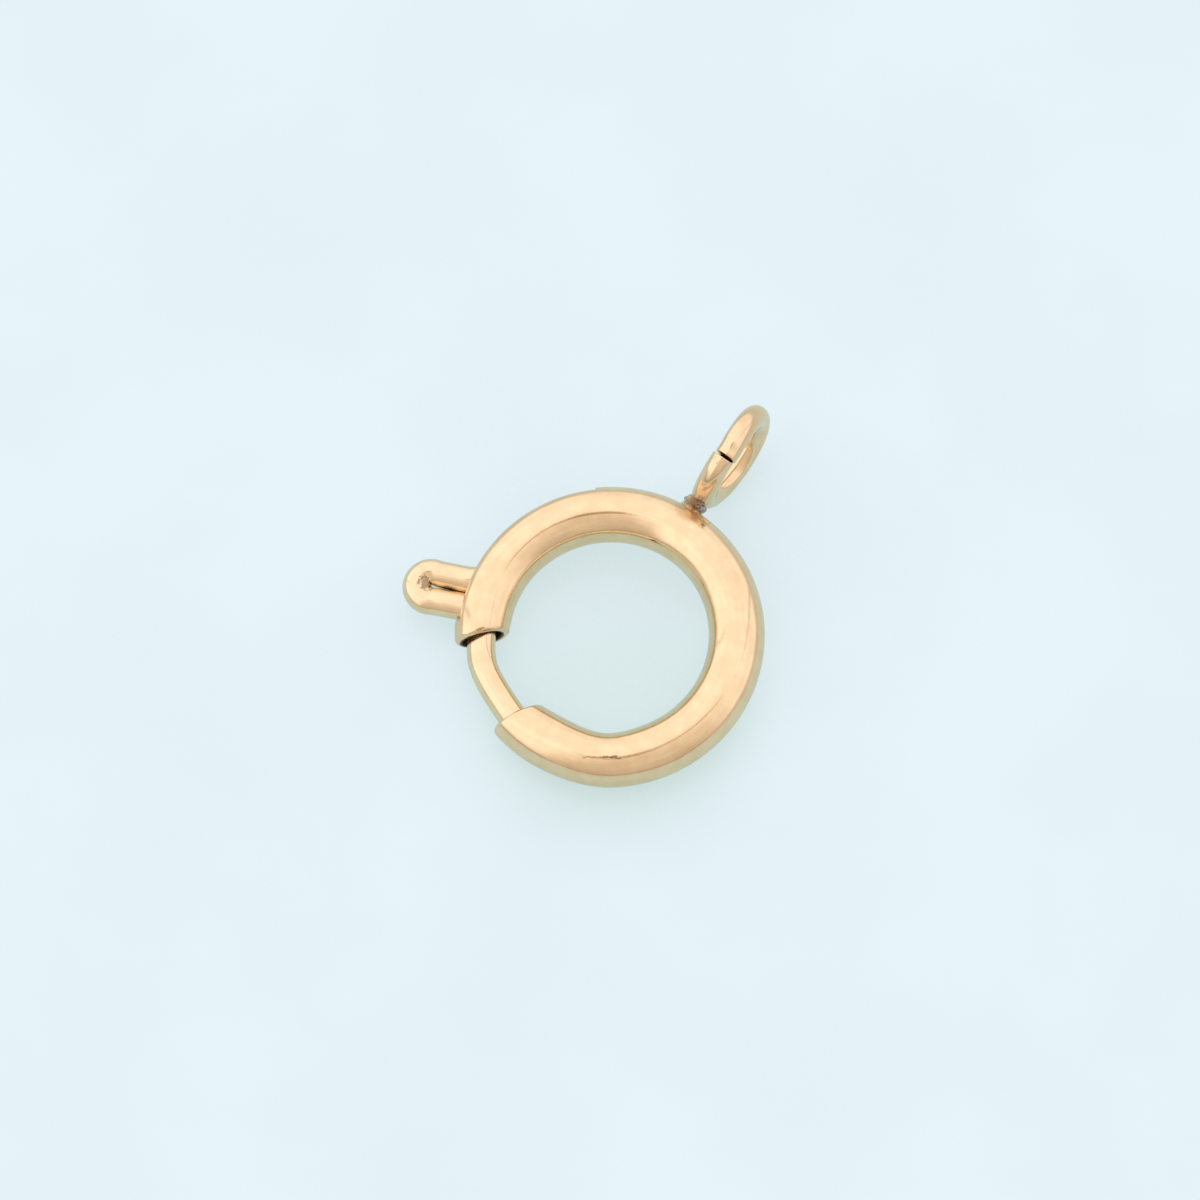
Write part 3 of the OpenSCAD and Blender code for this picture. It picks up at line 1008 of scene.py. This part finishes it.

# %% [markdown]
# ## The floor
# The clasp lies on a smooth pale blue plate of translucent plastic. Light comes up through it as well as
# down from the tent, so the shadow under the ring is weak. A glow of the plate's own stands for the light
# from below. Round the ring that glow is dimmed by a painted shadow, a soft patch centred a little in front
# of the ring. The gold mirrors the plate darker than it looks from above, because the metal sees it at a low
# angle, and greyer further out. So rays that come from the gold meet another glow than those that come
# straight from the camera.

# %% The plate's colours
PLATE_SIZE = 0.6
PLATE_COLOUR = (0.26, 0.26, 0.31, 1)
PLATE_GLOW = (0.500, 0.614, 0.615, 1)
PLATE_MIRRORED_NEAR = (0.36, 0.52, 0.52, 1)
PLATE_MIRRORED_FAR = (0.37, 0.44, 0.41, 1)
MIRRORED_RANGE = (9 * MM, 22 * MM)
NO_SHADE = (1, 1, 1, 1)
# Painted shadow: a tint that dims the plate's glow in a soft patch round the ring, centred a little in front
# of it.
RING_PAINTED_SHADOW = (0.87, 0.91, 0.86, 1)
RING_PAINTED_SHADOW_RANGE = (5.5 * MM, 1.925 * MM)
RING_PAINTED_SHADOW_PLACE = ring_place - Vector((0, 2.4 * MM, 0))
PLATE_SHINE = 0.3
PLATE_ROUGH = (0.22, 0.30)
PLATE_ROUGH_SCALE = 900.0
PLATE_CLOUD = (0.97, 1.02)
PLATE_CLOUD_SCALE = 120.0

# %% Floor
def new_material(name):
    """A new material and its node tree."""
    material = bpy.data.materials.new(name)
    material.use_nodes = True
    return material, material.node_tree


def fill_shader(tree, values):
    """Fills the sockets of the Principled shader by name."""
    for name, value in values.items():
        put(tree, value, tree.nodes["Principled BSDF"].inputs[name])


bpy.ops.object.select_all(action="DESELECT")
bpy.ops.mesh.primitive_plane_add(size=PLATE_SIZE, location=(0, 0, 0))
floor = bpy.context.object
floor.name = "floor"
plate, tree = new_material("blue_plate")
here = add_node(tree, "TexCoord").outputs["Object"]
direct = seen_directly(tree)
off = distance(tree, here, RING_PAINTED_SHADOW_PLACE)
mirrored = mix_colours(tree, ramp(tree, off, *MIRRORED_RANGE), PLATE_MIRRORED_NEAR, PLATE_MIRRORED_FAR)
# The painted shadow round the ring dims the glow.
painted_shadow = mix_colours(tree, ramp(tree, off, *RING_PAINTED_SHADOW_RANGE), NO_SHADE, RING_PAINTED_SHADOW)
plate_glow = vector_calc(tree, "MULTIPLY", mix_colours(tree, direct, mirrored, PLATE_GLOW), painted_shadow)
drift = ramp(tree, noise(tree, here, PLATE_CLOUD_SCALE, detail=3.0), *CLOUD_RANGE, *PLATE_CLOUD)
fine = ramp(tree, noise(tree, here, PLATE_ROUGH_SCALE), *CLOUD_RANGE, *PLATE_ROUGH)
fill_shader(tree, {
    "Base Color": PLATE_COLOUR,
    "Roughness": fine,
    "Specular IOR Level": times(tree, direct, PLATE_SHINE),
    "Emission Color": vector_calc(tree, "MULTIPLY", plate_glow, drift),
    "Emission Strength": 1.0,
})
floor.data.materials.append(plate)
print("the floor wears", plate.name)

# %% [markdown]
# ## Effects that the materials share
# The tube, the wire and the spring were all drawn through dies and then tumbled with small steel shot. So
# they share three things: faint lines along their length, soft hollows about a millimetre wide, and a fine
# grain. A shader node group holds an effect once, and each material uses it with its own amounts.

# %% Helpers for node groups
def new_group(name, inputs, outputs):
    """Makes a node group with named sockets, and gives its tree, what comes in and where results go."""
    group = bpy.data.node_groups.new(name, "ShaderNodeTree")
    for socket_name, kind in inputs:
        group.interface.new_socket(socket_name, in_out="INPUT", socket_type="NodeSocket" + kind)
    for socket_name, kind in outputs:
        group.interface.new_socket(socket_name, in_out="OUTPUT", socket_type="NodeSocket" + kind)
    given = group.nodes.new("NodeGroupInput").outputs
    result = group.nodes.new("NodeGroupOutput").inputs
    return group, given, result


def use_group(tree, group, values):
    """Places a group in a material and fills its sockets by name."""
    return add_node(tree, "Group", values, node_tree=group).outputs


# %% Group: drawn and tumbled metal
LINE_STRETCH = (0.45, 8.0, 8.0)
HOLLOW_SCALE = 1.3
GRAIN_SCALE = 7.0
FINISH_CLOUD_SCALE = 2.3
FINISH_CLOUD_RANGE = (0.32, 0.68)
WEAR_RANGE = (0.8, 1.25)

tumbled, given, result = new_group(
    "drawn_and_tumbled",
    [("Place", "Vector"), ("Hollows", "Float"), ("Grain", "Float"), ("Lines", "Float")],
    [("Height", "Float"), ("Cloud", "Float"), ("Wear", "Float")],
)
place = given["Place"]
x, y, z = split_vector(tumbled, place)
along_way = times(tumbled, calc(tumbled, "ARCTAN2", y, x), RING_R)
across_way = calc(tumbled, "SUBTRACT", diagonal(tumbled, x, y), RING_R)
wire_place = add_node(tumbled, "CombineXYZ", {0: along_way, 1: across_way, 2: z}).outputs[0]
lines = noise(tumbled, vector_calc(tumbled, "MULTIPLY", wire_place, LINE_STRETCH), scale=1.0)
hollows = noise(tumbled, place, HOLLOW_SCALE, detail=1.0)
grain = noise(tumbled, place, GRAIN_SCALE)
height = times(tumbled, hollows, given["Hollows"])
height = calc(tumbled, "MULTIPLY_ADD", grain, given["Grain"], height)
height = calc(tumbled, "MULTIPLY_ADD", lines, given["Lines"], height)
cloud = noise(tumbled, place, FINISH_CLOUD_SCALE, detail=3.0)
put(tumbled, height, result["Height"])
put(tumbled, ramp(tumbled, cloud, *FINISH_CLOUD_RANGE), result["Cloud"])
put(tumbled, ramp(tumbled, calc(tumbled, "ADD", grain, lines), *WEAR_RANGE), result["Wear"])
print("group:", tumbled.name)

# %% [markdown]
# A ragged patch is a soft ball of colour with a ragged edge. A nick is a short groove, and its colour is
# painted shade. Both are placed by their middle, so the same two groups make the painted shade and painted
# reflection round the bail's foot, the painted shade in the lever's fold, the grey solder beads, the brass
# cut face on the bail, the scratches by the mouth and on the bail, and the tool marks at the crimp.

# %% Group: a ragged patch, for stains and painted shade
STAIN_AND_SHADE_SCALE = 9.0
STAIN_AND_SHADE_CORE = 0.55

stain_and_shade, given, result = new_group(
    "ragged_stain_and_shade",
    [("Place", "Vector"), ("Middle", "Vector"), ("Radius", "Float"), ("Ragged", "Float")],
    [("Mask", "Float")],
)
off = distance(stain_and_shade, given["Place"], given["Middle"])
ragged = calc(stain_and_shade, "SUBTRACT", noise(stain_and_shade, given["Place"], STAIN_AND_SHADE_SCALE, detail=3.0), 0.5)
off = calc(stain_and_shade, "MULTIPLY_ADD", ragged, given["Ragged"], off)
put(stain_and_shade, ramp(stain_and_shade, off, given["Radius"], times(stain_and_shade, given["Radius"], STAIN_AND_SHADE_CORE)), result["Mask"])
print("group:", stain_and_shade.name)

# %% Group: a nick
JAG_SCALE = 11.0
JAG = (0.10, 0.10, 0.0)
HALF_GREY = (0.5, 0.5, 0.5)
NICK_HEIGHT_SHARE = 0.25

nick, given, result = new_group(
    "nick",
    [("Place", "Vector"), ("Middle", "Vector"), ("Turn", "Float"),
     ("Half length", "Float"), ("Half width", "Float")],
    [("Mask", "Float")],
)
jagged = add_node(nick, "TexNoise", {"Vector": given["Place"], "Scale": JAG_SCALE})
shaken = vector_calc(nick, "SUBTRACT", jagged.outputs["Color"], HALF_GREY)
shaken = vector_calc(nick, "ADD", given["Place"], vector_calc(nick, "MULTIPLY", shaken, JAG))
from_middle = vector_calc(nick, "SUBTRACT", shaken, given["Middle"])
turned = add_node(nick, "VectorRotate", {"Vector": from_middle, "Angle": times(nick, given["Turn"], -1.0)},
                  rotation_type="Z_AXIS")
x, y, z = split_vector(nick, turned.outputs[0])
past_end = calc(nick, "SUBTRACT", calc(nick, "ABSOLUTE", x), given["Half length"])
off = diagonal(nick, calc(nick, "MAXIMUM", past_end, 0.0), y)
off = diagonal(nick, off, times(nick, z, NICK_HEIGHT_SHARE))
put(nick, ramp(nick, off, given["Half width"], 0.0), result["Mask"])
print("group:", nick.name)

# %% [markdown]
# The inside of the tube was never polished, so it is rougher, and it is darkened with painted shade, as
# little light gets deep into the bore. The mask for it is the distance from the tube's middle line. On the
# catch's stretch that line is the flatter arc's own circle.

# %% Inside of the tube
BORE_R = TUBE_R - WALL
BORE_EDGE = (BORE_R + 0.05, BORE_R + 0.01)
# Painted shade for the tube's inner wall.
BORE_PAINTED_SHADE = (0.13, 0.075, 0.045, 1)
BORE_ROUGH = 0.5
CATCH_SIDES = (ray(CRIMP_AZ - 90), ray(CRIMP_AZ + 24))


def distance_to_circle(tree, place, centre, radius):
    """The distance from a circle that lies in the drawing's plane."""
    x, y, z = split_vector(tree, vector_calc(tree, "SUBTRACT", place, centre))
    return diagonal(tree, calc(tree, "SUBTRACT", diagonal(tree, x, y), radius), z)


def bore_mask(tree, place):
    """1 on the tube's inner wall, 0 on its outside."""
    from_ring = distance_to_circle(tree, place, (0, 0, 0), RING_R)
    from_catch = distance_to_circle(tree, place, catch_centre, catch_bend_r)
    past_crimp, past_mouth = (calc(tree, "GREATER_THAN", dot(tree, place, side), 0.0) for side in CATCH_SIDES)
    off = mix_values(tree, times(tree, past_crimp, past_mouth), from_ring, from_catch)
    return ramp(tree, off, *BORE_EDGE)


# %% [markdown]
# ## Pale gold
# The plate is a pale yellow gold. Its colour can be read where the metal mirrors the plain white cloth. The
# finish isn't one roughness: the fine grain and the die's lines make some of it a little duller. Where gold
# is mirrored in gold, the real plate looks browner than the first mirror, but not as orange as a pure tint
# would make it, so rays that don't come straight from the camera meet a paler metal.

# %% The gold material
GOLD_BRIGHT = (0.955, 0.700, 0.430, 1)
GOLD_DULL = (0.900, 0.640, 0.385, 1)
GOLD_MIRRORED = (0.80, 0.72, 0.60, 1)
BUMP_DEPTH = 0.00001
# The nicks' grooves are darkened with painted shade.
NICK_PAINTED_SHADE = (0.30, 0.17, 0.09, 1)
NICK_SHADE_STRENGTH = 0.75
STAIN_AND_SHADE_ROUGH = 0.25
PALER_SHARE = 0.6


def drawing_place(tree):
    """The shaded point's place in the flat drawing, in millimetres."""
    values = {"Vector": add_node(tree, "TexCoord").outputs["Object"], "Location": ring_place,
              "Rotation": LAY.to_euler(), "Scale": (MM, MM, MM)}
    return add_node(tree, "Mapping", values, vector_type="TEXTURE").outputs["Vector"]


def dress_metal(tree, colour, rough, height):
    """Fills the Principled shader for metal, whose height shapes its normal."""
    bump = add_node(tree, "Bump", {"Distance": BUMP_DEPTH, "Height": height})
    fill_shader(tree, {"Base Color": colour, "Metallic": 1.0, "Roughness": rough,
                       "Normal": bump.outputs["Normal"]})


def gold_plate(name, bright, dull, roughness, hollows, grain, lines, stains_and_shade=(), nicks=(), bore=False):
    """Polished pale gold with its own marks in the flat drawing: ragged patches of its own colour, of painted
    shade and of painted reflection, nicks with painted shade in their grooves, and painted shade in the bore.
    """
    material, tree = new_material(name)
    place = drawing_place(tree)
    finish = use_group(tree, tumbled, {"Place": place, "Hollows": hollows, "Grain": grain, "Lines": lines})
    colour = mix_colours(tree, finish["Cloud"], bright, dull)
    height = finish["Height"]
    rough = ramp(tree, finish["Wear"], 0.0, 1.0, *roughness)
    for middle_place, turn, half_length, half_width, depth in nicks:
        values = {"Place": place, "Middle": middle_place, "Turn": math.radians(turn),
                  "Half length": half_length, "Half width": half_width}
        mask = use_group(tree, nick, values)["Mask"]
        height = calc(tree, "MULTIPLY_ADD", mask, -depth, height)
        # Painted shade in the nick's groove.
        colour = mix_colours(tree, times(tree, mask, NICK_SHADE_STRENGTH), colour, NICK_PAINTED_SHADE)
    # Ragged patches: some are the metal's own colour, some are painted shade and painted reflection.
    for middle_place, radius, ragged, stain_and_shade_colour, strength in stains_and_shade:
        values = {"Place": place, "Middle": middle_place, "Radius": radius, "Ragged": ragged}
        mask = times(tree, use_group(tree, stain_and_shade, values)["Mask"], strength)
        colour = mix_colours(tree, mask, colour, stain_and_shade_colour)
        rough = mix_values(tree, mask, rough, STAIN_AND_SHADE_ROUGH)
    # Painted shade on the tube's inner wall, and a rougher finish there.
    if bore:
        inside = bore_mask(tree, place)
        colour = mix_colours(tree, inside, colour, BORE_PAINTED_SHADE)
        rough = mix_values(tree, inside, rough, BORE_ROUGH)
    paler = mix_colours(tree, PALER_SHARE, colour, GOLD_MIRRORED)
    dress_metal(tree, mix_colours(tree, seen_directly(tree), paler, colour), rough, height)
    return material


# %% Marks on the case
def on_tube(az, off):
    """A place on the upper side of the tube, by direction and distance from its middle line outwards."""
    return (RING_R + off) * ray(az) + Vector((0, 0, math.sqrt(TUBE_R**2 - off**2)))


# Painted light round the bail's foot: the darkest brown is painted shade in the gap where the bail meets the
# ring, with one small spot of it on the tube beside the neck; the light brown is a painted reflection of the
# bail's foot on the ring's top; the middle brown is painted shade low on the foot itself.
DARK_PAINTED_SHADE = (0.10, 0.055, 0.03, 1)
BAIL_FOOT_PAINTED_REFLECTION = (0.60, 0.33, 0.15, 1)
BAIL_FOOT_PAINTED_SHADE = (0.35, 0.18, 0.07, 1)
CUT_BRASS = (0.75, 0.53, 0.34, 1)
SOLDER_GREY = (0.24, 0.28, 0.32, 1)
# Of these patches, the two grey beads and the bail's brass cut face are the metal's own colours; the other
# four are painted light round the bail's foot.
CASE_STAINS_AND_SHADE = [  # middle, radius, raggedness, colour, strength
    (at_neck(-0.20, 0.12, 0.52), 0.58, 0.25, BAIL_FOOT_PAINTED_REFLECTION, 0.55),
    (at_neck(0.10, 0.05, 0.16), 0.38, 0.14, DARK_PAINTED_SHADE, 0.80),
    (at_neck(0.13, 0.32, 0.20), 0.15, 0.03, SOLDER_GREY, 0.9),
    (at_neck(0.17, -0.30, 0.16), 0.09, 0.02, SOLDER_GREY, 0.9),
    (at_neck(0.45, 0.0, 0.10), 0.42, 0.15, BAIL_FOOT_PAINTED_SHADE, 0.5),
    (cut_face, 0.30, 0.03, CUT_BRASS, 0.9),
    (on_tube(48.5, 0.47), 0.07, 0.03, DARK_PAINTED_SHADE, 0.6),
]
CASE_NICKS = [  # middle, direction, half length, half width, depth
    (on_tube(179.0, -0.01), 24, 0.10, 0.045, 0.30),
    (on_tube(267.5, 0.165), -3, 0.55, 0.035, 0.20),
    (on_tube(271.0, 0.15), 2, 0.18, 0.060, 0.30),
    (Vector((3.24, 4.72, 1.52)), 60, 0.03, 0.035, 0.20),
    (Vector((3.67, 5.07, 1.55)), 70, 0.16, 0.035, 0.20),
    (Vector((3.60, 4.98, 1.55)), 20, 0.05, 0.040, 0.20),
]
print("marks on the case:", len(CASE_STAINS_AND_SHADE), "stains and", len(CASE_NICKS), "nicks")

# %% Dress the case
case_gold = gold_plate("case_gold", GOLD_BRIGHT, GOLD_DULL, roughness=(0.075, 0.15),
                       hollows=0.55, grain=0.095, lines=0.070,
                       stains_and_shade=CASE_STAINS_AND_SHADE, nicks=CASE_NICKS, bore=True)
print("made", case_gold.name)

# %% [markdown]
# The bolt is the same gold on drawn wire. Its lines are stronger and run along the wire. The tight inside
# of the lever's fold could not be polished, so it is rougher there, and its wrinkles and the gap between the
# legs are darkened with painted shade.

# %% Dress the bolt
WIRE_BRIGHT = (0.965, 0.725, 0.455, 1)
WIRE_DULL = (0.915, 0.665, 0.405, 1)
# Painted shade in the fold's wrinkles and in the gap between the lever's legs.
FOLD_PAINTED_SHADE = (0.26, 0.15, 0.07, 1)
BOLT_PAINTED_SHADE = [
    (fold_centre + 0.15 * ray(LEVER_AZ) + Vector((0, 0, 0.25)), 0.26, 0.55, FOLD_PAINTED_SHADE, 0.75),
    (fold_centre - 0.55 * ray(LEVER_AZ - 4) + Vector((0, 0, 0.02)), 0.30, 0.10, FOLD_PAINTED_SHADE, 0.6),
]
bolt_gold = gold_plate("wire_gold", WIRE_BRIGHT, WIRE_DULL, roughness=(0.08, 0.17),
                       hollows=0.45, grain=0.080, lines=0.080, stains_and_shade=BOLT_PAINTED_SHADE)
print("made", bolt_gold.name)

# %% [markdown]
# The spring is bright steel wire with a thin film of oil. It is seen through the slot only.

# %% Dress the spring
STEEL_BRIGHT = (0.66, 0.63, 0.58, 1)
STEEL_OILED = (0.42, 0.37, 0.30, 1)
STEEL_ROUGH = (0.18, 0.35)
spring_steel, tree = new_material("spring_steel")
values = {"Place": drawing_place(tree), "Hollows": 0.2, "Grain": 0.10, "Lines": 0.05}
finish = use_group(tree, tumbled, values)
steel = mix_colours(tree, finish["Cloud"], STEEL_BRIGHT, STEEL_OILED)
dress_metal(tree, steel, ramp(tree, finish["Wear"], 0.0, 1.0, *STEEL_ROUGH), finish["Height"])
print("made", spring_steel.name)

# %% Put the materials on
WEARS = [(tube, case_gold), (bolt, bolt_gold), (near_coil, spring_steel), (far_coil, spring_steel)]
for piece, material in WEARS:
    piece.data.materials.clear()
    piece.data.materials.append(material)
    print(piece.name, "wears", material.name)
